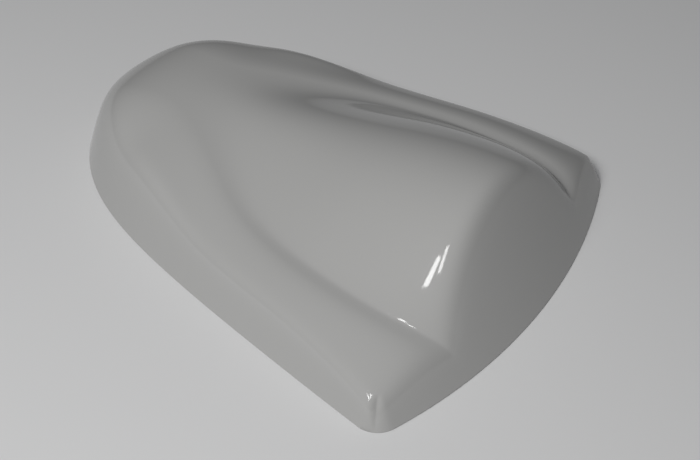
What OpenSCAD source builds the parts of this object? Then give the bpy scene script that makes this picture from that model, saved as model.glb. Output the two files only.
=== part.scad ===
// Tail cowl that takes the place of the passenger seat on a motorcycle: one thin moulded shell.
// X runs to the front (rider) end, Y to the left side, Z up from the plane of the rim.

/* [Rim outline] */
// Length from the middle of the front edge to the tail tip, mm
cowl_length = 327.4; // [280:0.1:380]
// Radius of the bowed front edge, mm
front_arc_radius = 331.7; // [250:0.1:500]
// Fullness of the round tail end, mm
tail_bulge = 70.4; // [50:0.1:90]
// Length over which the tail end reaches its fullness, mm
tail_run = 52.6; // [35:0.1:80]
// Outward spread of the sides towards the front, mm
side_spread = 39.5; // [20:0.1:60]
// Radius of the two front corners, mm
corner_radius = 12; // [4:0.5:25]

/* [Heights] */
// Height that the crown table's shares are taken from, mm
crown_height = 82; // [55:0.5:110]
// Height that the valley table's shares are taken from, mm
valley_height = 54; // [35:0.5:75]

/* [Side valleys and ridges] */
// Distance from the middle that the valley table's shares are taken from, mm
valley_offset = 77; // [50:0.5:100]
// Width of the level ridge beside a valley, mm
ridge_width = 4; // [0:0.5:15]
// Rounding between a ridge and its outer flank that the turn table's shares are taken from, mm
ridge_round = 35; // [10:0.5:80]
// Softness of the valley where the ridge runs out at the tail, mm
valley_soft = 5; // [1:0.1:10]

/* [Shell] */
// Thickness of the moulded wall, mm
wall = 3; // [2:0.1:5]
// Height of the square edge at the foot of the wall, mm
edge_land = 0.8; // [0.2:0.1:2]

/* [Screw bosses] */
// Distance between the front and the rear bosses, mm
boss_spacing_x = 120; // [60:1:180]
// Distance between the left and the right bosses, mm
boss_spacing_y = 60; // [40:1:110]
// Distance of the middle of the four bosses behind the middle of the cowl, mm
boss_setback = 20; // [-40:1:60]
// Diameter of a boss, mm
boss_diameter = 12; // [8:0.5:18]
// Diameter of the pilot hole for a self-tapping screw, mm
pilot_diameter = 4.2; // [2.5:0.1:6]
// Depth of the pilot hole, mm
pilot_depth = 14; // [8:0.5:20]
// Height of the bosses' seats above the rim plane, mm
boss_seat = 30; // [10:0.5:40]

/* [Hidden] */

// Steepness of the side wall and of the front face at the rim, rise over run
side_steep = 3.4;
front_steep = 2.0;
// Slope that a ridge's outer flank comes to
ridge_slope = 0.58;
// How tightly the wall turns into the deck, and the front face into the crown
deck_turn = 4.0;
crest_turn = 6.5;
// How quickly the tail end fills out
tail_power = 1.236;

tail_x = -cowl_length / 2;
front_x = cowl_length / 2;
arc_x = front_x - front_arc_radius;

// Shares at thirteen even stations from the tail to the front edge
crown_table = [0.226, 0.51, 0.642, 0.668, 0.68, 0.711, 0.764, 0.826, 0.9, 0.965, 1, 0.999, 0.966];
valley_table = [0.288, 0.844, 1, 1.012, 0.973, 0.849, 0.752, 0.738, 0.731, 0.704, 0.671, 0.607, 0.33];
offset_table = [0.229, 0.261, 0.28, 0.324, 0.475, 0.655, 0.792, 0.895, 0.971, 1.015, 1.066, 1.031, 0.858];
form_table = [0.01, 0, 0, 0.33, 1.47, 1.92, 1.77, 1.11, 0.45, 0.08, 0.04, 0, 0];
turn_table = [0.639, 0.566, 0.541, 0.516, 0.489, 0.429, 0.369, 0.326, 0.298, 0.281, 0.339, 0.673, 1.033];
soft_table = [1, 1, 1, 0.9, 0.7, 0.45, 0.28, 0.18, 0.18, 0.18, 0.18, 0.18, 0.18];

// Rows from the front edge (0) to the tail tip (1), shares of the length
rows = [
    0, 0.006, 0.014, 0.022, 0.031, 0.040, 0.049, 0.058, 0.067, 0.076, 0.085, 0.095, 0.106, 0.118, 0.131,
    0.146, 0.163, 0.183, 0.206, 0.231, 0.258, 0.286, 0.315, 0.345, 0.375, 0.405, 0.435, 0.465, 0.495,
    0.525, 0.555, 0.585, 0.615, 0.645, 0.675, 0.705, 0.735, 0.765, 0.795, 0.823, 0.850, 0.875, 0.897,
    0.917, 0.935, 0.951, 0.965, 0.977, 0.987, 0.995
];
// Columns from the middle to the valley, then from the valley to the side outline
crown_columns = [0, 0.17, 0.33, 0.48, 0.61, 0.73, 0.83, 0.91, 0.965, 1];
side_columns = [0.03, 0.08, 0.15, 0.24, 0.34, 0.45, 0.56, 0.67, 0.77, 0.86, 0.93, 0.97, 1];
// Share of the length over which the rows bow like the front edge
bow_share = 0.55;
// Largest share of a row at which its valley column may lie
valley_limit_share = 0.66;
settles = 8;
halvings = 26;
tiny = 0.001;
// Share of the edge land that the bevel at its foot takes, and a cut's overrun past a face
bevel_share = 0.3;
overrun = 1;
// Facets of a boss, of its pilot hole, and of the ring on which its top is found
boss_facets = 48;
pilot_facets = 32;
ring_facets = 12;
plastic = [0.72, 0.72, 0.71];

// Even cubic blend of a table, smooth to the second degree
function at(table, i) = table[max(0, min(len(table) - 1, i))];
function blend(table, t) =
    let (s = max(0, min(1, t)) * (len(table) - 1), i = min(len(table) - 2, floor(s)), f = s - i, g = 1 - f)
    (
        g * g * g * at(table, i - 1) + (3 * f * f * f - 6 * f * f + 4) * at(table, i)
        + (3 * g * g * g - 6 * g * g + 4) * at(table, i + 1) + f * f * f * at(table, i + 2)
    ) / 6;

function crown_share(t) = blend(crown_table, t);
function valley_share(t) = blend(valley_table, t);
function offset_share(t) = blend(offset_table, t);
function turn_share(t) = blend(turn_table, t);
function soft_share(t) = blend(soft_table, t);

// Square of the half-width of the side outline, and its change along the length
function half_square(x) =
    let (s = max(0, x - tail_x))
    tail_bulge * tail_bulge * (1 - exp(-pow(s / tail_run, tail_power))) + side_spread * s;
function half_square_slope(x) =
    let (s = max(tiny * tail_run, x - tail_x), q = pow(s / tail_run, tail_power))
    tail_bulge * tail_bulge * exp(-q) * q * tail_power / s + side_spread;

// Distances inside the side outline and inside the front edge
function side_gap(x, y) =
    let (a = half_square(x), b = half_square_slope(x))
    (a - y * y) / sqrt(b * b + 4 * max(a, tail_run * tail_run * tiny));
function front_gap(x, y) = front_arc_radius - norm([x - arc_x, y]);
// Distance inside the whole rim with its corners rounded
function rim_gap(side, front, r) =
    side > r && front > r ? min(side, front) : r - norm([max(r - side, 0), max(r - front, 0)]);

// The lower of two heights with the corner between them rounded
function under(a, b, turn) = pow(pow(a, -turn) + pow(b, -turn), -1 / turn);
// The higher of two heights with the valley between them rounded
function over(a, b, soft) = max(a, b) + soft * ln(1 + exp(-abs(a - b) / soft));

// Height of the deck without its walls: the crown's arch between two valleys, and the flanks beside them
function deck(x, y) =
    let (
        t = (x - tail_x) / cowl_length, v = valley_height * valley_share(t), c = crown_height * crown_share(t),
        o = valley_offset * offset_share(t), k = ridge_round * turn_share(t), q = pow(y / o, 2),
        a = blend(form_table, t)
    )
    over(
        c - (c - v) * q * (1 + a) / (1 + a * q),
        v - ridge_slope * (norm([max(0, abs(y) - o - ridge_width), k]) - k),
        valley_soft * soft_share(t)
    );

// Height of a skin: drop is taken off the deck, side_in and front_in are taken off the rim distances
function skin(x, y, drop, side_in, front_in, r) =
    let (
        s = max(tiny * wall, side_gap(x, y) - side_in), f = max(tiny * wall, front_gap(x, y) - front_in),
        g = max(tiny * tiny * wall, rim_gap(s, f, r))
    )
    under(
        under(side_steep * s, max(wall, deck(x, y) - drop), deck_turn),
        front_steep * f, crest_turn
    ) * g / min(s, f);

// Half-width of the side outline drawn in by a gap, and how far the front edge bows back at a width
function inset_half(x, gap) =
    let (a = half_square(x), b = half_square_slope(x))
    sqrt(max(0, a - gap * sqrt(b * b + 4 * max(a, tail_run * tail_run * tiny))));
function bow(y, gap) = let (r = front_arc_radius - gap) r - sqrt(r * r - y * y);
// Tail tip of the side outline drawn in by a gap, found by halving
function inset_tail(gap, lo, hi, n) =
    let (m = (lo + hi) / 2)
    n == 0 ? hi : inset_half(m, gap) > 0 ? inset_tail(gap, lo, m, n - 1) : inset_tail(gap, m, hi, n - 1);

// Ends of a row: its side end and its valley column, each found by settling
function row_end(xc, w, s_in, f_in, y, n) =
    n == 0 ? y : row_end(xc, w, s_in, f_in, inset_half(xc - w * bow(y, f_in), s_in), n - 1);
function row_valley(xc, w, f_in, end, y, n) =
    n == 0 ? y
    : row_valley(
        xc, w, f_in, end,
        min(valley_offset * offset_share((xc - w * bow(y, f_in) - tail_x) / cowl_length), valley_limit_share * end),
        n - 1
    );

// Moves a point near a front corner so that a square corner becomes a round one
function rounded(p, s_in, f_in, r) =
    let (s = side_gap(p[0], abs(p[1])) - s_in, f = front_gap(p[0], p[1]) - f_in, a = r - s, b = r - f)
    a <= 0 || b <= 0 ? p
    : let (
        k = max(a, b) / norm([a, b]), ds = a * (1 - k), df = b * (1 - k),
        q = half_square_slope(p[0]), c = norm([q, 2 * sqrt(half_square(p[0]))]),
        gx = q / c, gy = -2 * p[1] / c, h = norm([p[0] - arc_x, p[1]]), fx = (arc_x - p[0]) / h, fy = -p[1] / h,
        d = gx * fy - gy * fx
    )
    [p[0] + (ds * fy - df * gy) / d, p[1] + (gx * df - fx * ds) / d];

// One skin's plan: rows of points, drawn in from the rim by the two gaps, and the tail tip at the end
function plan(s_in, f_in, r) =
    let (start = front_x - f_in, tip = inset_tail(s_in, tail_x - tiny * wall, 0, halvings + halvings))
    concat(
        [
            for (share = rows)
                let (
                    xc = start - (start - tip) * share, w = pow(max(0, 1 - share / bow_share), 2),
                    e = row_end(xc, w, s_in, f_in, inset_half(xc, s_in), settles),
                    v = row_valley(xc, w, f_in, e, valley_limit_share * e, settles),
                    half = concat([for (c = crown_columns) v * c], [for (c = side_columns) v + (e - v) * c]),
                    n = len(half) - 1
                )
                [
                    for (j = [-n : n])
                        let (y = (j < 0 ? -1 : 1) * half[abs(j)]) rounded([xc - w * bow(y, f_in), y], s_in, f_in, r)
                ]
        ],
        [[[tip, 0]]]
    );
// Edge of a plan, once around
function around(p) =
    let (n = len(p) - 1, m = len(p[0]) - 1)
    concat(p[0], [for (i = [1 : n - 1]) p[i][m]], [p[n][0]], [for (i = [n - 1 : -1 : 1]) p[i][0]]);

side_in = wall * sqrt(1 + 1 / (side_steep * side_steep));
front_in = wall * sqrt(1 + 1 / (front_steep * front_steep));
columns = len(crown_columns) + len(side_columns) - 1;
wide = 2 * columns + 1;
row_total = len(rows);
// Indices of a plan's edge points within the plan's own list
edge = concat(
    [for (j = [0 : wide - 1]) j], [for (i = [1 : row_total - 1]) i * wide + wide - 1],
    [row_total * wide], [for (i = [row_total - 1 : -1 : 1]) i * wide]
);

module shell() {
    outer_plan = plan(0, 0, corner_radius);
    inner_plan = plan(side_in, front_in, corner_radius - wall);
    outer = [
        for (i = [0 : row_total]) for (j = [0 : len(outer_plan[i]) - 1])
            let (p = outer_plan[i][j], rim = i == 0 || i == row_total || j == 0 || j == wide - 1)
            [p[0], p[1], edge_land + (rim ? 0 : skin(p[0], p[1], 0, 0, 0, corner_radius))]
    ];
    inner = [
        for (i = [0 : row_total]) for (j = [0 : len(inner_plan[i]) - 1])
            let (p = inner_plan[i][j], rim = i == 0 || i == row_total || j == 0 || j == wide - 1)
            [
                p[0], p[1],
                rim ? 0 : skin(p[0], p[1], wall - edge_land, side_in, front_in, corner_radius - wall)
            ]
    ];
    cut = bevel_share * edge_land;
    bevel = around(plan(cut, cut, corner_radius - cut));
    foot = around(plan(edge_land, edge_land, corner_radius - edge_land));
    total = len(outer);
    ring = len(edge);
    points = concat(
        outer, inner, [for (p = bevel) [p[0], p[1], cut]], [for (p = foot) [p[0], p[1], 0]]
    );
    tip = row_total * wide;
    skins = [
        for (base = [0, total]) for (i = [0 : row_total - 1]) for (j = [0 : wide - 2])
            let (
                a = base + i * wide + j, b = a + 1,
                last = i == row_total - 1, c = last ? base + tip : b + wide, d = last ? base + tip : a + wide,
                faces = last ? [[a, c, b]] : (abs(j + 0.5 - columns) < columns && j < columns)
                    ? [[a, d, b], [b, d, c]] : [[a, d, c], [a, c, b]]
            )
            for (f = faces) base == 0 ? f : [f[0], f[2], f[1]]
    ];
    bands = [
        for (k = [0 : 2]) for (l = [0 : ring - 1])
            let (
                n = (l + 1) % ring,
                a = k == 0 ? edge[l] : 2 * total + (k - 1) * ring + l,
                b = k == 0 ? edge[n] : 2 * total + (k - 1) * ring + n,
                c = k == 2 ? total + edge[n] : 2 * total + k * ring + n,
                d = k == 2 ? total + edge[l] : 2 * total + k * ring + l
            )
            each [[a, b, c], [a, c, d]]
    ];
    polyhedron(points, concat(skins, bands), convexity = 8);
}

module bosses() {
    for (sx = [-1, 1]) for (sy = [-1, 1]) {
        x = sx * boss_spacing_x / 2 - boss_setback;
        y = sy * boss_spacing_y / 2;
        reach = boss_diameter / 2;
        top = min([
            for (k = [1 : ring_facets])
                let (a = 360 * k / ring_facets) deck(x + reach * cos(a), y + reach * sin(a))
        ]) - wall / 2;
        translate([x, y, boss_seat]) difference() {
            cylinder(h = top - boss_seat, d = boss_diameter, $fn = boss_facets);
            translate([0, 0, -overrun]) cylinder(h = pilot_depth + overrun, d = pilot_diameter, $fn = pilot_facets);
        }
    }
}

module cowl_shell() color(plastic) union() {
    shell();
    bosses();
}

cowl_shell();
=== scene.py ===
"""Seat cowl of a motorcycle: one moulded shell of glossy light grey plastic on a pale studio floor.

X runs to the front edge, Y to the left side and Z up from the rim. Every length is in metres.
"""

import math

import bpy
import numpy as np
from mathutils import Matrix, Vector


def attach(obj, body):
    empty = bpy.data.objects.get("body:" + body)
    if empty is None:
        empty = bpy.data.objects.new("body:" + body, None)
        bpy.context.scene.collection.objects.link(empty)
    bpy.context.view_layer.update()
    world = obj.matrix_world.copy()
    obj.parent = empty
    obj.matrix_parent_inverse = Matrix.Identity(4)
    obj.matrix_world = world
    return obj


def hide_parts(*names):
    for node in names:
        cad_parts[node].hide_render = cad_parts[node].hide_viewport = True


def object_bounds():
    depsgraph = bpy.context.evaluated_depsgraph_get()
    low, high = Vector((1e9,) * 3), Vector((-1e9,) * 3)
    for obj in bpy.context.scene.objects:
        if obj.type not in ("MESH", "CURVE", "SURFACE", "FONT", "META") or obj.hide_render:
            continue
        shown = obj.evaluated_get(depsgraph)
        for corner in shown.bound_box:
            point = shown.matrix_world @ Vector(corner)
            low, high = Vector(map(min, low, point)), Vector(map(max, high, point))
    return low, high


bl_info = {
    "name": "Seat Cowl",
    "version": (1, 0, 0),
    "blender": (4, 5, 0),
    "location": "3D View > Sidebar > Seat Cowl",
    "description": "Builds a moulded seat cowl, its plastic and a plain studio around it",
    "category": "Add Mesh",
}

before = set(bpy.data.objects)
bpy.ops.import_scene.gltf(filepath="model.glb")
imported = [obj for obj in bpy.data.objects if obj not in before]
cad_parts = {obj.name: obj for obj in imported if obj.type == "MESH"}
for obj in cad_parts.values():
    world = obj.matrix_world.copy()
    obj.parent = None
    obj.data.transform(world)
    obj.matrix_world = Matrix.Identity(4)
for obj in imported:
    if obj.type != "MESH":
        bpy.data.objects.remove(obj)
packed_low, packed_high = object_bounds()

PIECE = "cowl_shell"
BODY = "root"
MM = 0.001

# Least size that is divided by, the rim's bevel over its square edge, and a boss's sink over the wall
TINY_SHARE = 0.001
BEVEL_SHARE = 0.3
SINK_SHARE = 0.4
# Rounds that find the tail tip and that settle the plan's rows, and the angle past which an edge is sharp
HALVINGS = 50
SETTLES = 12
SHARP_DEGREES = 38
# Turns of a boss, and the spacing of nodes in the editor
BOSS_TURNS = 48
NODE_COLUMN = 220
NODE_ROW = 180

# What the height rule reads at each point beside its shares, and which faces are the underside
POINT_VALUES = ("side", "front", "corner", "drop", "raised")
UNDERSIDE = "underside"
BOSS_TOP = "top"

# Shares at thirteen even stations from the tail to the front edge, each of the size that it is named for.
# Form says how far the crown's arch departs from a parabola, and edge how tight the deck's edge is.
SHARES = {
    "crown": (0.26, 0.55, 0.66, 0.665, 0.68, 0.71, 0.765, 0.825, 0.9, 0.965, 1, 1, 0.965),
    "valley": (0.37, 0.83, 0.99, 0.995, 0.96, 0.85, 0.745, 0.705, 0.7, 0.68, 0.65, 0.565, 0.29),
    "offset": (0.19, 0.23, 0.22, 0.2, 0.38, 0.6, 0.8, 0.91, 0.985, 1.02, 1.03, 0.98, 0.82),
    "softness": (1, 1, 1, 0.9, 0.7, 0.45, 0.27, 0.19, 0.16, 0.16, 0.16, 0.16, 0.16),
    "form": (0, 0, 0, 0, 0.4, 0.7, 0.7, 0.4, 0.2, 0.1, 0, 0, 0),
    "turn": (0.63, 0.63, 0.63, 0.7, 0.58, 0.45, 0.36, 0.34, 0.34, 0.34, 0.32, 0.48, 0.92),
    "edge": (0.63, 0.72, 0.8, 0.8, 0.85, 0.95, 1.03, 1.08, 1.09, 1.09, 1.0, 0.7, 0.55),
}


# Sizes and finishes that a user would change


def length(name, description, default, low=0.0001, high=2.0):
    """A length in metres for a property group."""
    return bpy.props.FloatProperty(
        name=name, description=description, default=default, min=low, max=high, precision=4, unit="LENGTH"
    )


def plain(name, description, default, low=0.0, high=10.0):
    """A number without a unit for a property group."""
    return bpy.props.FloatProperty(
        name=name, description=description, default=default, min=low, max=high, precision=3
    )


def colour(name, description, default):
    """A colour for a property group."""
    return bpy.props.FloatVectorProperty(
        name=name, description=description, default=default, size=3, min=0, max=1, subtype="COLOR"
    )


class CowlSizes(bpy.types.PropertyGroup):
    """Sizes of the moulded shell"""

    long: length("Length", "From the front edge to the tail tip", packed_high.x - packed_low.x)
    front_arc: length("Front arc", "Radius of the bowed front edge", 0.3317)
    tail_bulge: length("Tail bulge", "Fullness of the round tail end", 0.0704)
    tail_run: length("Tail run", "Length over which the tail end reaches its fullness", 0.0526)
    tail_power: plain("Tail power", "How quickly the tail end fills out", 1.236)
    side_spread: length("Side spread", "Outward spread of the sides towards the front", 0.0395)
    corner: length("Corner radius", "Radius of the two front corners", 0.012)
    crown: length("Crown height", "Height that the crown's shares are taken from", 0.082)
    valley: length("Valley height", "Height that the valley's shares are taken from", 0.054)
    valley_offset: length("Valley offset", "Distance from the middle that its shares are taken from", 0.077)
    ridge_width: length("Ridge width", "Width of the level ridge beside a valley", 0.007, 0.0)
    ridge_round: length("Ridge rounding", "Size of the turn from a ridge to its outer flank", 0.035)
    ridge_slope: plain("Ridge slope", "Slope that the ridge's outer flank comes to", 0.52)
    softness: length("Valley softness", "Softness of the valley at the tail", 0.005)
    side_steep: plain("Side steepness", "Rise over run of the side wall at the rim", 3.4)
    front_steep: plain("Front steepness", "Rise over run of the front face at the rim", 2.3)
    deck_turn: plain("Deck turn", "How tightly the side wall turns into the deck", 7.0)
    crest_turn: plain("Crest turn", "How tightly the front face turns into the crown", 11.0, high=20.0)
    ridge_crest_share: plain("Ridge crest share", "Tightness of the low crests beside the tallest one", 0.45)
    wall: length("Wall", "Thickness of the moulded wall", 0.003)
    land: length("Edge land", "Height of the square edge at the foot of the wall", 0.0008)


class BossSizes(bpy.types.PropertyGroup):
    """Sizes of the four screw bosses under the crown"""

    spacing_x: length("Spacing along", "From the front bosses to the rear ones", 0.120)
    spacing_y: length("Spacing across", "From the left bosses to the right ones", 0.060)
    setback: length("Setback", "Distance of the bosses' middle behind the cowl's middle", 0.020)
    diameter: length("Diameter", "Outer diameter of a boss", 0.012)
    pilot: length("Pilot hole", "Diameter of the hole for a self-tapping screw", 0.0042)
    depth: length("Pilot depth", "Depth of the pilot hole", 0.014)
    seat: length("Seat height", "Height of the bosses' ends above the rim", 0.030)
    chamfer: length("Chamfer", "Width of the chamfers at a boss's end", 0.0004)


class CowlFinish(bpy.types.PropertyGroup):
    """Colours of the plastic and of the floor"""

    gloss_grey: colour("Outside", "Colour of the glossy outer side", (0.41, 0.408, 0.40))
    satin_grey: colour("Underside", "Colour of the satin underside", (0.44, 0.438, 0.43))
    floor: colour("Floor", "Colour of the studio floor", (0.7, 0.7, 0.7))


# The plan of the shell, worked out on arrays


def share(name, along):
    """Even cubic blend of a row of shares at a place from 0 at the tail to 1 at the front."""
    table = np.array(SHARES[name], float)
    last = len(table) - 1
    place = np.clip(along, 0, 1) * last
    i = np.minimum(last - 1, np.floor(place).astype(int))
    f = place - i
    g = 1 - f

    def at(k):
        return table[np.clip(k, 0, last)]

    return (
        g**3 * at(i - 1)
        + (3 * f**3 - 6 * f**2 + 4) * at(i)
        + (3 * g**3 - 6 * g**2 + 4) * at(i + 1)
        + f**3 * at(i + 2)
    ) / 6


class Outline:
    """The rim's outline and the distances inside it."""

    def __init__(self, sizes):
        self.sizes = sizes
        self.tail = packed_low.x
        self.front = packed_high.x
        self.arc_x = self.front - sizes.front_arc

    def half_square(self, x):
        """Square of the half-width, and how fast it changes along the length."""
        z = self.sizes
        s = np.maximum(0, x - self.tail)
        fullness = np.exp(-((s / z.tail_run) ** z.tail_power))
        square = z.tail_bulge**2 * (1 - fullness) + z.side_spread * s
        s = np.maximum(TINY_SHARE * z.tail_run, s)
        q = (s / z.tail_run) ** z.tail_power
        slope = z.tail_bulge**2 * np.exp(-q) * q * z.tail_power / s + z.side_spread
        return square, slope

    def side_scale(self, x):
        """Turns a difference of squared half-widths into a distance from the side."""
        square, slope = self.half_square(x)
        least = TINY_SHARE * self.sizes.tail_run**2
        return np.sqrt(slope**2 + 4 * np.maximum(square, least))

    def side_distance(self, x, y):
        """Distance in from the side, nearly."""
        return (self.half_square(x)[0] - y * y) / self.side_scale(x)

    def front_distance(self, x, y):
        """Distance in from the bowed front edge."""
        return self.sizes.front_arc - np.hypot(x - self.arc_x, y)

    def half_width(self, x, inset):
        """Half-width of the outline drawn in by the inset."""
        square = self.half_square(x)[0] - inset * self.side_scale(x)
        return np.sqrt(np.maximum(0, square))

    def bow(self, y, inset):
        """How far the front edge, drawn in by the inset, lies behind its middle."""
        radius = self.sizes.front_arc - inset
        return radius - np.sqrt(radius**2 - y * y)

    def tail_tip(self, inset):
        """Where the outline drawn in by the inset ends, found by halving."""
        low, high = self.tail - TINY_SHARE * self.sizes.wall, 0.0
        for _ in range(HALVINGS):
            middle = (low + high) / 2
            if self.half_width(np.array(middle), inset) > 0:
                high = middle
            else:
                low = middle
        return high

    def round_corner(self, x, y, side_in, front_in, radius):
        """Moves the points near a front corner so that a square corner becomes a round one."""
        a = radius - (self.side_distance(x, y) - side_in)
        b = radius - (self.front_distance(x, y) - front_in)
        near = (a > 0) & (b > 0)
        keep = 1 - np.maximum(a, b) / np.where(near, np.hypot(a, b), 1)
        square, slope = self.half_square(x)
        steep = np.hypot(slope, 2 * np.sqrt(square))
        side_x, side_y = slope / steep, -2 * y / steep
        reach = np.hypot(x - self.arc_x, y)
        front_x, front_y = (self.arc_x - x) / reach, -y / reach
        cross = side_x * front_y - side_y * front_x
        cross = np.where(near, cross, 1)
        move_x = (a * keep * front_y - b * keep * side_y) / cross
        move_y = (b * keep * side_x - a * keep * front_x) / cross
        return np.where(near, x + move_x, x), np.where(near, y + move_y, y)


def crowded(count, crowding):
    """Even steps from 0 to 1, drawn closer together towards both ends."""
    even = np.linspace(0, 1, count + 1)
    return even - crowding * np.sin(2 * math.pi * even) / (2 * math.pi)


class Plan:
    """A net of points over the cowl's plan, with its rows across and its columns along the valleys."""

    rows = 220
    crown_columns = 38
    side_columns = 50
    row_crowding = 0.6
    side_crowding = 0.5
    crown_power = 1.5
    bow_share = 0.55
    valley_limit_share = 0.66

    def __init__(self, outline, side_in, front_in, radius):
        self.outline = outline
        self.side_in = side_in
        self.front_in = front_in
        self.radius = radius
        start = outline.front - front_in
        self.tip = outline.tail_tip(side_in)
        back = crowded(self.rows, self.row_crowding)[:-1]
        centre = start - (start - self.tip) * back
        weight = np.maximum(0, 1 - back / self.bow_share) ** 2
        end = self.settled_end(centre, weight)
        valley = self.settled_valley(centre, weight, end)
        inner = 1 - (1 - np.linspace(0, 1, self.crown_columns + 1)) ** self.crown_power
        outer = crowded(self.side_columns, self.side_crowding)[1:]
        half = np.concatenate([valley * inner[:, None], valley + (end - valley) * outer[:, None]]).T
        across = np.concatenate([-half[:, :0:-1], half], axis=1)
        along = centre[:, None] - weight[:, None] * outline.bow(across, front_in)
        self.x, self.y = outline.round_corner(along, across, side_in, front_in, radius)
        self.wide = self.x.shape[1]

    def settled_end(self, centre, weight):
        """Half-width at which each bowed row meets the outline."""
        end = self.outline.half_width(centre, self.side_in)
        for _ in range(SETTLES):
            x = centre - weight * self.outline.bow(end, self.front_in)
            end = self.outline.half_width(x, self.side_in)
        return end

    def settled_valley(self, centre, weight, end):
        """Distance from the middle at which each bowed row crosses the valley."""
        sizes = self.outline.sizes
        valley = self.valley_limit_share * end
        for _ in range(SETTLES):
            x = centre - weight * self.outline.bow(valley, self.front_in)
            wanted = sizes.valley_offset * share("offset", (x - self.outline.tail) / sizes.long)
            valley = np.minimum(wanted, self.valley_limit_share * end)
        return valley

    def points(self):
        """Every point's place on the plan, row by row, with the tail tip last."""
        return np.append(self.x.ravel(), self.tip), np.append(self.y.ravel(), 0.0)

    def edge(self):
        """Numbers of the points along the rim, once around."""
        wide, rows = self.wide, self.rows
        right = [i * wide + wide - 1 for i in range(1, rows)]
        left = [i * wide for i in range(rows - 1, 0, -1)]
        return np.array([*range(wide), *right, rows * wide, *left])

    def faces(self):
        """Four-sided faces between the rows, and three-sided ones round the tail tip."""
        wide, rows = self.wide, self.rows
        faces = []
        for i in range(rows - 1):
            for j in range(wide - 1):
                a = i * wide + j
                faces.append((a, a + 1, a + 1 + wide, a + wide))
        for j in range(wide - 1):
            a = (rows - 1) * wide + j
            faces.append((a, a + 1, rows * wide))
        return faces


def flat_shell(sizes):
    """The shell laid flat: both skins and the rim, with what the height rule needs kept on each point."""
    outline = Outline(sizes)
    side_in = sizes.wall * math.sqrt(1 + 1 / sizes.side_steep**2)
    front_in = sizes.wall * math.sqrt(1 + 1 / sizes.front_steep**2)
    bevel = BEVEL_SHARE * sizes.land
    outer = Plan(outline, 0, 0, sizes.corner)
    inner = Plan(outline, side_in, front_in, sizes.corner - sizes.wall)
    middle_rings = [Plan(outline, inset, inset, sizes.corner - inset) for inset in (bevel, sizes.land)]
    edge = outer.edge()
    count = len(outer.points()[0])

    columns = {name: [] for name in ("x", "y", "z", *POINT_VALUES)}

    def lay(x, y, height, plan, drop, raised):
        """Adds points to the net, each with what the height rule reads there."""
        columns["x"].append(x)
        columns["y"].append(y)
        columns["z"].append(np.full(len(x), height))
        columns["side"].append(outline.side_distance(x, y) - plan.side_in)
        columns["front"].append(outline.front_distance(x, y) - plan.front_in)
        columns["corner"].append(np.full(len(x), plan.radius))
        columns["drop"].append(np.full(len(x), drop))
        columns["raised"].append(raised)

    inside = np.ones(count)
    inside[edge] = 0
    lay(*outer.points(), sizes.land, outer, 0, inside)
    lay(*inner.points(), 0, inner, sizes.wall - sizes.land, inside)
    for ring, height in zip(middle_rings, (bevel, 0)):
        x, y = ring.points()
        lay(x[edge], y[edge], height, ring, 0, np.zeros(len(edge)))
    net = {name: np.concatenate(parts) for name, parts in columns.items()}

    faces = outer.faces()
    faces += [tuple(count + i for i in reversed(face)) for face in outer.faces()]
    skins = len(faces) // 2
    bevel_ring = 2 * count + np.arange(len(edge))
    rings = [edge, bevel_ring, bevel_ring + len(edge), count + edge]
    for upper, lower in zip(rings, rings[1:]):
        upper_next, lower_next = np.roll(upper, -1), np.roll(lower, -1)
        faces += zip(upper.tolist(), lower.tolist(), lower_next.tolist(), upper_next.tolist())
    underside = np.zeros(len(faces), bool)
    underside[skins : 2 * skins] = True

    mesh = bpy.data.meshes.new("flat shell")
    mesh.from_pydata(np.stack([net["x"], net["y"], net["z"]], axis=1), [], faces)
    along = (net["x"] - outline.tail) / sizes.long
    kept = {f"{name} share": share(name, along) for name in SHARES}
    kept.update({name: net[name] for name in POINT_VALUES})
    for name, values in kept.items():
        mesh.attributes.new(name, "FLOAT", "POINT").data.foreach_set("value", values.astype(np.float32))
    mesh.attributes.new(UNDERSIDE, "BOOLEAN", "FACE").data.foreach_set("value", underside)
    return mesh


def turned_boss(sizes):
    """One screw boss, open end down, closed just above its pilot hole; the tree lifts its top."""
    turns = BOSS_TURNS
    outer, pilot, chamfer = sizes.diameter / 2, sizes.pilot / 2, sizes.chamfer
    profile = [
        (pilot, sizes.depth),
        (pilot, chamfer),
        (pilot + chamfer, 0),
        (outer - chamfer, 0),
        (outer, chamfer),
        (outer, sizes.depth + chamfer),
    ]
    points = []
    for radius, height in profile:
        for turn in range(turns):
            angle = 2 * math.pi * turn / turns
            points.append((radius * math.cos(angle), radius * math.sin(angle), height))
    faces = []
    for ring in range(len(profile) - 1):
        for turn in range(turns):
            a, b = ring * turns + turn, ring * turns + (turn + 1) % turns
            faces.append((a, a + turns, b + turns, b))
    faces.append(tuple(range(turns)))
    faces.append(tuple(reversed(range(len(points) - turns, len(points)))))
    mesh = bpy.data.meshes.new("turned boss")
    mesh.from_pydata(points, [], [tuple(reversed(face)) for face in faces])
    top = np.zeros(len(points), np.float32)
    top[-turns:] = 1
    mesh.attributes.new(BOSS_TOP, "FLOAT", "POINT").data.foreach_set("value", top)
    mesh.attributes.new(UNDERSIDE, "BOOLEAN", "FACE").data.foreach_set("value", np.ones(len(faces), bool))
    return mesh


# Node trees


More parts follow.
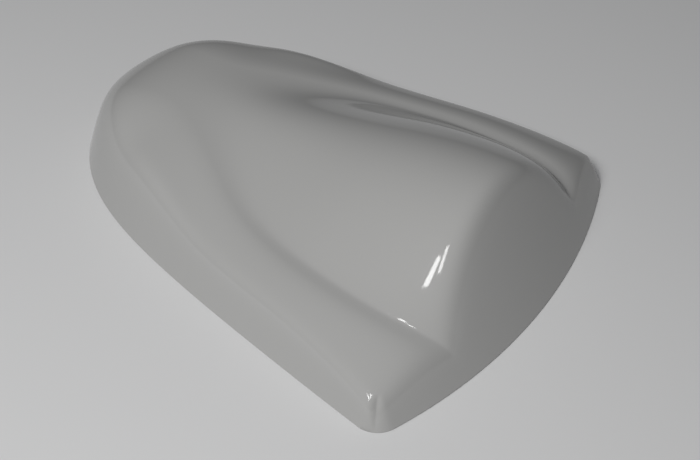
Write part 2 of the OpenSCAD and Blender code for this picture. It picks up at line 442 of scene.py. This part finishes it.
class Number:
    """A value in a node tree. Arithmetic on it adds Math nodes to the tree."""

    def __init__(self, tree, socket):
        self.tree = tree
        self.socket = socket

    def math(self, operation, *others):
        node = self.tree.nodes.new("ShaderNodeMath")
        node.operation = operation
        for socket, value in zip(node.inputs, (self, *others)):
            if isinstance(value, Number):
                self.tree.links.new(value.socket, socket)
            else:
                socket.default_value = value
        return Number(self.tree, node.outputs[0])

    def __add__(self, other):
        return self.math("ADD", other)

    def __sub__(self, other):
        return self.math("SUBTRACT", other)

    def __mul__(self, other):
        return self.math("MULTIPLY", other)

    def __truediv__(self, other):
        return self.math("DIVIDE", other)

    def __pow__(self, other):
        return self.math("POWER", other)

    def __neg__(self):
        return self * -1.0

    def __abs__(self):
        return self.math("ABSOLUTE")


def lower_rounded(a, b, turn):
    """The lower of two heights with the corner between them rounded."""
    low, high = a.math("MINIMUM", b), a.math("MAXIMUM", b)
    return low * ((low / high) ** turn + 1.0) ** (-(turn.math("POWER", -1.0)))


def higher_softened(a, b, softness):
    """The higher of two heights with the valley between them softened."""
    gap = abs(a - b) / softness
    lift = ((-gap).math("EXPONENT") + 1.0).math("LOGARITHM", math.e)
    return a.math("MAXIMUM", b) + softness * lift


def new_tree(name, inputs):
    """A geometry node tree with named inputs, its Group Input node and its Group Output node."""
    tree = bpy.data.node_groups.new(name, "GeometryNodeTree")
    tree.interface.new_socket("Geometry", in_out="INPUT", socket_type="NodeSocketGeometry")
    for label, kind in inputs:
        tree.interface.new_socket(label, in_out="INPUT", socket_type=kind)
    tree.interface.new_socket("Geometry", in_out="OUTPUT", socket_type="NodeSocketGeometry")
    return tree, tree.nodes.new("NodeGroupInput"), tree.nodes.new("NodeGroupOutput")


def attribute(tree, name, kind="FLOAT"):
    """A Named Attribute node's value."""
    node = tree.nodes.new("GeometryNodeInputNamedAttribute")
    node.data_type = kind
    node.inputs["Name"].default_value = name
    return node.outputs["Attribute"]


def arrange(tree):
    """Lays the nodes out in columns, each to the right of all that feeds it."""
    depth = {node: 0 for node in tree.nodes}
    for _ in tree.nodes:
        for link in tree.links:
            depth[link.to_node] = max(depth[link.to_node], depth[link.from_node] + 1)
    filled = {}
    for node in tree.nodes:
        column = depth[node]
        node.location = (NODE_COLUMN * column, -NODE_ROW * filled.get(column, 0))
        filled[column] = filled.get(column, 0) + 1


HEIGHT_INPUTS = {
    "Crown Height": "crown",
    "Valley Height": "valley",
    "Valley Offset": "valley_offset",
    "Ridge Width": "ridge_width",
    "Ridge Round": "ridge_round",
    "Ridge Slope": "ridge_slope",
    "Valley Softness": "softness",
    "Side Steepness": "side_steep",
    "Front Steepness": "front_steep",
    "Deck Turn": "deck_turn",
    "Crest Turn": "crest_turn",
    "Ridge Crest Share": "ridge_crest_share",
    "Wall": "wall",
}
BOSS_INPUTS = {
    "Boss Spacing Along": "spacing_x",
    "Boss Spacing Across": "spacing_y",
    "Boss Setback": "setback",
    "Boss Seat": "seat",
}
PART_INPUTS = {
    "Boss": "NodeSocketObject",
    "Outer Plastic": "NodeSocketMaterial",
    "Underside Plastic": "NodeSocketMaterial",
}


def cowl_height(tree, given):
    """The height rule: the crown's arch meets level ridges, whose flanks fall away, and walls cap it all."""

    def size(label):
        return Number(tree, given.outputs[label])

    def point(name):
        return Number(tree, attribute(tree, name))

    place = tree.nodes.new("ShaderNodeSeparateXYZ")
    tree.links.new(tree.nodes.new("GeometryNodeInputPosition").outputs[0], place.inputs[0])
    across = abs(Number(tree, place.outputs["Y"]))
    crown = size("Crown Height") * point("crown share")
    valley = size("Valley Height") * point("valley share")
    offset = size("Valley Offset") * point("offset share")
    softness = size("Valley Softness") * point("softness share")

    form = point("form share")
    spread = (across / offset) ** 2.0
    arch = crown - (crown - valley) * spread * (form + 1.0) / (form * spread + 1.0)
    beside = (across - offset - size("Ridge Width")).math("MAXIMUM", 0.0)
    turn = size("Ridge Round") * point("turn share")
    fall = ((beside**2.0 + turn**2.0).math("SQRT") - turn) * size("Ridge Slope")
    deck = higher_softened(arch, valley - fall, softness)

    wall = size("Wall")
    least = wall * TINY_SHARE
    side = point("side").math("MAXIMUM", least)
    front = point("front").math("MAXIMUM", least)
    nearest = side.math("MINIMUM", front)
    radius = point("corner")
    side_short = (radius - side).math("MAXIMUM", 0.0)
    front_short = (radius - front).math("MAXIMUM", 0.0)
    from_round = radius - (side_short**2.0 + front_short**2.0).math("SQRT")
    is_clear = nearest.math("GREATER_THAN", radius)
    rim = nearest * is_clear + from_round * (is_clear * -1.0 + 1.0)
    rim = rim.math("MAXIMUM", least * TINY_SHARE)

    roof = (deck - point("drop")).math("MAXIMUM", wall)
    walled = lower_rounded(size("Side Steepness") * side, roof, size("Deck Turn") * point("edge share"))
    tallness = (walled / size("Crown Height")).math("MAXIMUM", size("Ridge Crest Share"))
    crest_turn = size("Crest Turn") * tallness
    fronted = lower_rounded(walled, size("Front Steepness") * front, crest_turn)
    return fronted * rim / nearest * point("raised")


def up(tree, height):
    """A vector of the given height."""
    node = tree.nodes.new("ShaderNodeCombineXYZ")
    tree.links.new(height.socket, node.inputs["Z"])
    return node.outputs[0]


def add_bosses(tree, given, shell):
    """Four bosses that reach up into the shell's underside."""
    links = tree.links
    grid = tree.nodes.new("GeometryNodeMeshGrid")
    grid.inputs["Vertices X"].default_value = 2
    grid.inputs["Vertices Y"].default_value = 2
    links.new(given.outputs["Boss Spacing Along"], grid.inputs["Size X"])
    links.new(given.outputs["Boss Spacing Across"], grid.inputs["Size Y"])
    shift = tree.nodes.new("ShaderNodeCombineXYZ")
    links.new((-Number(tree, given.outputs["Boss Setback"])).socket, shift.inputs["X"])
    links.new(given.outputs["Boss Seat"], shift.inputs["Z"])
    seats = tree.nodes.new("GeometryNodeSetPosition")
    links.new(grid.outputs["Mesh"], seats.inputs["Geometry"])
    links.new(shift.outputs[0], seats.inputs["Offset"])

    boss = tree.nodes.new("GeometryNodeObjectInfo")
    links.new(given.outputs["Boss"], boss.inputs["Object"])
    copies = tree.nodes.new("GeometryNodeInstanceOnPoints")
    links.new(seats.outputs[0], copies.inputs["Points"])
    links.new(boss.outputs["Geometry"], copies.inputs["Instance"])
    real = tree.nodes.new("GeometryNodeRealizeInstances")
    links.new(copies.outputs[0], real.inputs[0])

    look_up = tree.nodes.new("GeometryNodeRaycast")
    look_up.inputs["Ray Direction"].default_value = (0, 0, 1)
    links.new(shell, look_up.inputs["Target Geometry"])
    into_wall = Number(tree, given.outputs["Wall"]) * SINK_SHARE
    reach = Number(tree, look_up.outputs["Hit Distance"]) + into_wall
    lift = reach * Number(tree, attribute(tree, BOSS_TOP))
    raised = tree.nodes.new("GeometryNodeSetPosition")
    links.new(real.outputs[0], raised.inputs["Geometry"])
    links.new(up(tree, lift), raised.inputs["Offset"])
    return raised.outputs[0]


def cowl_tree():
    """Raises the flat shell by the height rule, joins the bosses to it and gives both sides their plastic."""
    inputs = [(label, "NodeSocketFloat") for label in [*HEIGHT_INPUTS, *BOSS_INPUTS]]
    tree, given, result = new_tree("Seat Cowl", inputs + list(PART_INPUTS.items()))
    links = tree.links
    raised = tree.nodes.new("GeometryNodeSetPosition")
    links.new(given.outputs["Geometry"], raised.inputs["Geometry"])
    links.new(up(tree, cowl_height(tree, given)), raised.inputs["Offset"])

    joined = tree.nodes.new("GeometryNodeMeshBoolean")
    joined.operation = "UNION"
    joined.solver = "MANIFOLD"
    links.new(raised.outputs[0], joined.inputs["Mesh 2"])
    links.new(add_bosses(tree, given, raised.outputs[0]), joined.inputs["Mesh 2"])

    real = tree.nodes.new("GeometryNodeRealizeInstances")
    links.new(joined.outputs["Mesh"], real.inputs[0])
    outer = tree.nodes.new("GeometryNodeSetMaterial")
    links.new(real.outputs[0], outer.inputs["Geometry"])
    links.new(given.outputs["Outer Plastic"], outer.inputs["Material"])
    under = tree.nodes.new("GeometryNodeSetMaterial")
    links.new(outer.outputs[0], under.inputs["Geometry"])
    links.new(attribute(tree, UNDERSIDE, "BOOLEAN"), under.inputs["Selection"])
    links.new(given.outputs["Underside Plastic"], under.inputs["Material"])
    links.new(under.outputs[0], result.inputs["Geometry"])
    arrange(tree)
    return tree


def set_inputs(modifier, values):
    """Sets a modifier's inputs by their sockets' identifiers."""
    for item in modifier.node_group.interface.items_tree:
        if item.item_type == "SOCKET" and item.in_out == "INPUT" and item.name in values:
            modifier[item.identifier] = values[item.name]


# Plastic

PLASTIC_IOR = 1.49
MOTTLE_SCALE = 14.0
GLOSS_SCALE = 45.0


def moulded_surface():
    """Shader group for moulded plastic: a faint mottle in its colour, and fine ripples left by the mould."""
    name = "Moulded Surface"
    if name in bpy.data.node_groups:
        return bpy.data.node_groups[name]
    tree = bpy.data.node_groups.new(name, "ShaderNodeTree")
    sockets = (
        ("Position", "INPUT", "NodeSocketVector"),
        ("Colour", "INPUT", "NodeSocketColor"),
        ("Mottle", "INPUT", "NodeSocketFloat"),
        ("Roughness", "INPUT", "NodeSocketFloat"),
        ("Roughness Spread", "INPUT", "NodeSocketFloat"),
        ("Ripple Scale", "INPUT", "NodeSocketFloat"),
        ("Colour", "OUTPUT", "NodeSocketColor"),
        ("Roughness", "OUTPUT", "NodeSocketFloat"),
        ("Height", "OUTPUT", "NodeSocketFloat"),
    )
    for label, way, kind in sockets:
        tree.interface.new_socket(label, in_out=way, socket_type=kind)
    given = tree.nodes.new("NodeGroupInput")
    result = tree.nodes.new("NodeGroupOutput")
    links = tree.links

    def noise(scale, detail):
        """Noise over the surface, from 0 to 1."""
        node = tree.nodes.new("ShaderNodeTexNoise")
        node.inputs["Detail"].default_value = detail
        if isinstance(scale, bpy.types.NodeSocket):
            links.new(scale, node.inputs["Scale"])
        else:
            node.inputs["Scale"].default_value = scale
        links.new(given.outputs["Position"], node.inputs["Vector"])
        return Number(tree, node.outputs["Fac"])

    shade = (noise(MOTTLE_SCALE, detail=3.0) - 0.5) * Number(tree, given.outputs["Mottle"]) + 1.0
    tint = tree.nodes.new("ShaderNodeVectorMath")
    tint.operation = "SCALE"
    links.new(given.outputs["Colour"], tint.inputs[0])
    links.new(shade.socket, tint.inputs["Scale"])
    links.new(tint.outputs[0], result.inputs["Colour"])
    spread = (noise(GLOSS_SCALE, detail=2.0) - 0.5) * Number(tree, given.outputs["Roughness Spread"])
    rough = spread + Number(tree, given.outputs["Roughness"])
    links.new(rough.socket, result.inputs["Roughness"])
    links.new(noise(given.outputs["Ripple Scale"], detail=2.0).socket, result.inputs["Height"])
    arrange(tree)
    return tree


def plastic(name, base, roughness, spread, mottle, ripple_scale, ripple_height):
    """A plastic whose colour, gloss and ripples come from the moulded surface group."""
    material = bpy.data.materials.new(name)
    material.use_nodes = True
    tree = material.node_tree
    surface = tree.nodes.new("ShaderNodeGroup")
    surface.node_tree = moulded_surface()
    surface.inputs["Colour"].default_value = (*base, 1)
    surface.inputs["Mottle"].default_value = mottle
    surface.inputs["Roughness"].default_value = roughness
    surface.inputs["Roughness Spread"].default_value = spread
    surface.inputs["Ripple Scale"].default_value = ripple_scale
    place = tree.nodes.new("ShaderNodeTexCoord")
    tree.links.new(place.outputs["Object"], surface.inputs["Position"])
    bump = tree.nodes.new("ShaderNodeBump")
    bump.inputs["Distance"].default_value = ripple_height
    tree.links.new(surface.outputs["Height"], bump.inputs["Height"])
    shader = tree.nodes["Principled BSDF"]
    shader.inputs["IOR"].default_value = PLASTIC_IOR
    tree.links.new(surface.outputs["Colour"], shader.inputs["Base Color"])
    tree.links.new(surface.outputs["Roughness"], shader.inputs["Roughness"])
    tree.links.new(bump.outputs["Normal"], shader.inputs["Normal"])
    arrange(tree)
    material.diffuse_color = (*base, 1)
    return material


# Operators


def new_object(name, mesh):
    """A new object in the scene, at the origin."""
    made = bpy.data.objects.new(name, mesh)
    bpy.context.scene.collection.objects.link(made)
    return made


class SEATCOWL_OT_shell(bpy.types.Operator):
    """Build the moulded shell with its screw bosses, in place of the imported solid"""

    bl_idname = "seat_cowl.shell"
    bl_label = "Build Shell"
    bl_options = {"REGISTER", "UNDO"}

    def execute(self, context):
        scene = context.scene
        sizes, bosses, finish = scene.cowl_sizes, scene.boss_sizes, scene.cowl_finish
        flat = new_object("flat shell", flat_shell(sizes))
        boss = new_object("turned boss", turned_boss(bosses))
        values = {label: getattr(sizes, name) for label, name in HEIGHT_INPUTS.items()}
        values.update({label: getattr(bosses, name) for label, name in BOSS_INPUTS.items()})
        values["Boss"] = boss
        values["Outer Plastic"] = plastic(
            "gloss grey plastic",
            finish.gloss_grey,
            roughness=0.07,
            spread=0.02,
            mottle=0.02,
            ripple_scale=260.0,
            ripple_height=0.000002,
        )
        values["Underside Plastic"] = plastic(
            "satin grey plastic",
            finish.satin_grey,
            roughness=0.42,
            spread=0.10,
            mottle=0.06,
            ripple_scale=900.0,
            ripple_height=0.00006,
        )
        modifier = flat.modifiers.new("Seat Cowl", "NODES")
        modifier.node_group = cowl_tree()
        set_inputs(modifier, values)
        context.view_layer.update()
        raised = flat.evaluated_get(context.evaluated_depsgraph_get())
        mesh = bpy.data.meshes.new_from_object(raised)
        if not mesh.polygons:
            raise RuntimeError("the height rule gave an empty shell")
        flat.modifiers.remove(modifier)
        for spare in (flat, boss):
            bpy.data.objects.remove(spare)
        mesh.name = "moulded shell"
        helpers = [*(f"{name} share" for name in SHARES), *POINT_VALUES, UNDERSIDE, BOSS_TOP]
        for name in helpers:
            if name in mesh.attributes:
                mesh.attributes.remove(mesh.attributes[name])
        mesh.polygons.foreach_set("use_smooth", [True] * len(mesh.polygons))
        mesh.set_sharp_from_angle(angle=math.radians(SHARP_DEGREES))
        shell = new_object("moulded_shell", mesh)
        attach(shell, BODY)
        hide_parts(PIECE)
        return {"FINISHED"}


# Where the lights point, the size of a window, and the floor's half-width and roughness
LIT_PLACE = (0, 0, 0.04)
WINDOW = (0.22, 0.6)
FLOOR_HALF = 4.0
FLOOR_ROUGHNESS = 0.8


def aim(thing, target):
    """Turns a light or camera towards a point."""
    thing.rotation_euler = (Vector(target) - thing.location).to_track_quat("-Z", "Y").to_euler()


def direction(azimuth, elevation):
    """Unit vector towards an azimuth from +X round to +Y and an elevation, in degrees."""
    a, e = math.radians(azimuth), math.radians(elevation)
    return Vector((math.cos(a) * math.cos(e), math.sin(a) * math.cos(e), math.sin(e)))


def area_light(name, azimuth, elevation, distance, size, watts):
    """A soft panel of light at a direction and distance from the cowl, and turned to it."""
    data = bpy.data.lights.new(name, "AREA")
    data.shape = "RECTANGLE"
    data.size, data.size_y = size
    data.energy = watts
    light = new_object(name, data)
    light.location = Vector(LIT_PLACE) + direction(azimuth, elevation) * distance
    aim(light, LIT_PLACE)
    return light


class SEATCOWL_OT_stage(bpy.types.Operator):
    """Set the floor, the soft lights and the camera"""

    bl_idname = "seat_cowl.stage"
    bl_label = "Set Stage"
    bl_options = {"REGISTER", "UNDO"}

    def execute(self, context):
        self.lay_floor(context.scene.cowl_finish.floor)
        self.light_room(context.scene)
        self.place_camera(context.scene)
        return {"FINISHED"}

    def lay_floor(self, base):
        """A plain matt floor, level with the rim."""
        half = FLOOR_HALF
        mesh = bpy.data.meshes.new("floor")
        corners = [(-half, -half, 0), (half, -half, 0), (half, half, 0), (-half, half, 0)]
        mesh.from_pydata(corners, [], [(0, 1, 2, 3)])
        material = bpy.data.materials.new("studio floor")
        material.use_nodes = True
        shader = material.node_tree.nodes["Principled BSDF"]
        shader.inputs["Base Color"].default_value = (*base, 1)
        shader.inputs["Roughness"].default_value = FLOOR_ROUGHNESS
        mesh.materials.append(material)
        new_object("studio_floor", mesh)

    def light_room(self, scene):
        """A dim room, a soft key light that isn't mirrored, and two tall windows that the gloss mirrors."""
        world = bpy.data.worlds.new("studio room")
        scene.world = world
        world.use_nodes = True
        backdrop = world.node_tree.nodes["Background"]
        backdrop.inputs["Color"].default_value = (0.9, 0.93, 1.0, 1)
        backdrop.inputs["Strength"].default_value = 0.05
        key = area_light(
            "key_softbox", azimuth=-84, elevation=52, distance=1.5, size=(0.8, 0.6), watts=13.5
        )
        key.visible_glossy = False
        area_light("window_left", azimuth=-80, elevation=46, distance=2.2, size=WINDOW, watts=6)
        area_light("window_right", azimuth=-65, elevation=52, distance=2.2, size=WINDOW, watts=5)
        scene.view_settings.view_transform = "Standard"

    def place_camera(self, scene):
        """The camera at the photograph's angle."""
        target = Vector((35.2, -6.3, 0)) * MM
        azimuth, elevation, roll, distance = -55.53, 43.99, 0.875, 0.8305
        data = bpy.data.cameras.new("photo camera")
        data.lens, data.sensor_width = 69.7, 36
        data.clip_start, data.clip_end = 0.01, 50
        camera = new_object("photo_camera", data)
        camera.location = target + direction(azimuth, elevation) * distance
        aim(camera, target)
        camera.rotation_euler.rotate_axis("Z", math.radians(roll))
        scene.camera = camera


class SEATCOWL_PT_panel(bpy.types.Panel):
    """Builds the seat cowl and its stage, and shows their sizes"""

    bl_label = "Seat Cowl"
    bl_idname = "SEATCOWL_PT_panel"
    bl_space_type = "VIEW_3D"
    bl_region_type = "UI"
    bl_category = "Seat Cowl"

    def draw(self, context):
        layout = self.layout
        for operator in (SEATCOWL_OT_shell, SEATCOWL_OT_stage):
            layout.operator(operator.bl_idname)
        for group in (context.scene.cowl_sizes, context.scene.boss_sizes, context.scene.cowl_finish):
            box = layout.box()
            for name in group.__annotations__:
                box.prop(group, name)


CLASSES = (
    CowlSizes,
    BossSizes,
    CowlFinish,
    SEATCOWL_OT_shell,
    SEATCOWL_OT_stage,
    SEATCOWL_PT_panel,
)


def register():
    for made in CLASSES:
        bpy.utils.register_class(made)
    bpy.types.Scene.cowl_sizes = bpy.props.PointerProperty(type=CowlSizes)
    bpy.types.Scene.boss_sizes = bpy.props.PointerProperty(type=BossSizes)
    bpy.types.Scene.cowl_finish = bpy.props.PointerProperty(type=CowlFinish)


def unregister():
    del bpy.types.Scene.cowl_finish
    del bpy.types.Scene.boss_sizes
    del bpy.types.Scene.cowl_sizes
    for made in reversed(CLASSES):
        bpy.utils.unregister_class(made)


def main():
    register()
    bpy.ops.seat_cowl.shell()
    bpy.ops.seat_cowl.stage()


if __name__ == "__main__":
    main()
